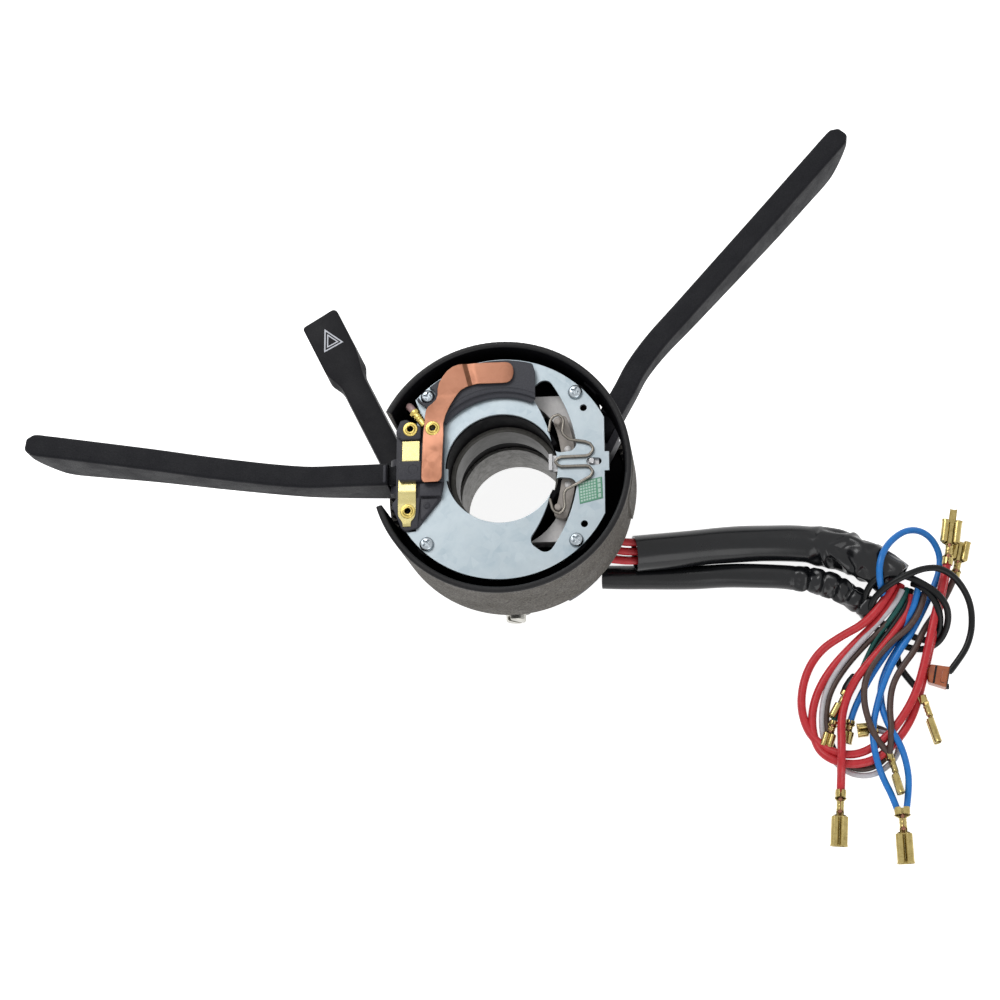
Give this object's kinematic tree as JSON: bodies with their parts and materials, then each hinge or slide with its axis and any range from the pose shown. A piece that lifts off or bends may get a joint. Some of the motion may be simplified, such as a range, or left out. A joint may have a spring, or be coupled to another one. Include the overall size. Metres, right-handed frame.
{
  "type": "combination stalk switch",
  "caption": "Steering-column switch in a round housing with indicator and wiper stalks, a hazard lever, cancelling gear, horn contacts and a loose wiring harness.",
  "frame": {"origin": "centre of the clamp collar's bore at its rear end", "axes": "+Z along the steering column towards the driver, +X to the driver's right (the wiper stalk's side), +Y up"},
  "size_m": [0.3559, 0.2756, 0.0675],
  "materials": {
    "housing_plastic": "fine speckled grain",
    "cast_zinc": "die cast, satin",
    "screw_steel": "zinc plated",
    "clamp_steel": "plated, slotted",
    "ring_grey": "smooth",
    "plate_zinc": "zinc plated, mottled",
    "contact_black": "moulded",
    "copper": "bare copper",
    "brass": "bare",
    "lead_pink": "insulation",
    "spring_wire": "drawn wire",
    "pin_steel": "ground",
    "label_green": "printed grid",
    "sleeve_black": "glossy vinyl",
    "wire_red": "insulation",
    "wire_blue": "insulation",
    "wire_black": "insulation",
    "wire_brown": "insulation",
    "connector_amber": "tinted housing",
    "switch_nylon": "moulded nylon",
    "pawl_nylon": "moulded nylon",
    "stalk_black": "grained"
  },
  "bodies": {
    "housing": {"housing_shell": "housing_plastic", "clamp_collar": "cast_zinc", "collar_screws": "screw_steel", "clamp_screw": "clamp_steel", "bearing_ring": "ring_grey", "terminal_block": "housing_plastic", "base_plate": "plate_zinc", "plate_screws": "screw_steel", "contact_carrier": "contact_black", "horn_strip": "copper", "arc_block": "contact_black", "brass_leaf": "brass", "contact_bridge": "contact_black", "eyelets": "brass", "crimp_terminal": "brass", "lead_stub": "lead_pink", "cancel_spring": "spring_wire", "turn_pivot_pin": "pin_steel", "hazard_pin": "pin_steel", "wiper_pivot_pin": "pin_steel", "label": "label_green", "outlet_wires": "wire_red", "sleeve_large": "sleeve_black", "sleeve_small": "sleeve_black", "wire_hank": "wire_red", "blue_loop": "wire_blue", "black_loop": "wire_black", "red_top": "wire_red", "brown_top": "wire_brown", "black_tail": "wire_black", "red_low": "wire_red", "blue_low_a": "wire_blue", "blue_low_b": "wire_blue", "terminal_1": "brass", "terminal_2": "brass", "terminal_3": "brass", "terminal_4": "brass", "terminal_5": "brass", "terminal_6": "brass", "flag_connector": "connector_amber"},
    "turn_switch": {"turn_carrier": "switch_nylon", "turn_flash_pin": "pin_steel"},
    "indicator_stalk": {"turn_stalk": "stalk_black"},
    "upper_pawl": {"cancel_pawl_upper": "pawl_nylon"},
    "lower_pawl": {"cancel_pawl_lower": "pawl_nylon"},
    "finger": {"cancel_finger": "switch_nylon"},
    "hazard": {"hazard_lever": "stalk_black"},
    "wiper_switch": {"wiper_carrier": "switch_nylon", "washer_pin": "pin_steel"},
    "wiper_arm": {"wiper_stalk": "stalk_black"}
  },
  "joints": [
    {"name": "turn_indicate", "type": "hinge", "parent": "housing", "child": "turn_switch", "pos_m": [-0.028, 0.0005, 0.05], "axis": [0, 0, 1], "range_deg": [-9, 9], "deforming": ["cancel_spring"]},
    {"name": "turn_flash", "type": "hinge", "parent": "turn_switch", "child": "indicator_stalk", "pos_m": [-0.0385, 0.0009, 0.05], "axis": [0, 1, 0], "range_deg": [0, 8], "stiffness_Nm_per_rad": 0.5, "springref_deg": -2.86},
    {"name": "upper_pawl_trip", "type": "hinge", "parent": "turn_switch", "child": "upper_pawl", "pos_m": [0.02436, 0.0073, 0.058], "axis": [0, 0, 1], "range_deg": [-5, 0], "stiffness_Nm_per_rad": 0.01, "springref_deg": 2.86},
    {"name": "lower_pawl_trip", "type": "hinge", "parent": "turn_switch", "child": "lower_pawl", "pos_m": [0.02436, -0.0063, 0.058], "axis": [0, 0, 1], "range_deg": [0, 5], "stiffness_Nm_per_rad": 0.01, "springref_deg": -2.86},
    {"name": "cancel_slide", "type": "slide", "parent": "housing", "child": "finger", "axis": [1, 0, 0], "range_m": [0, 0.0012], "stiffness_N_per_m": 300, "springref_m": -0.0005},
    {"name": "hazard_swing", "type": "hinge", "parent": "housing", "child": "hazard", "pos_m": [-0.0367, -0.0027, 0.034], "axis": [0, 0, 1], "range_deg": [0, 12]},
    {"name": "wiper_sweep", "type": "hinge", "parent": "housing", "child": "wiper_switch", "pos_m": [0.0312, 0.0095, 0.036], "axis": [0, 0, 1], "range_deg": [-20, 0]},
    {"name": "washer_pull", "type": "hinge", "parent": "wiper_switch", "child": "wiper_arm", "pos_m": [0.0368, 0.02068, 0.0385], "axis": [0.8942, -0.4478, 0], "range_deg": [0, 8], "stiffness_Nm_per_rad": 0.4, "springref_deg": -2.86}
  ]
}
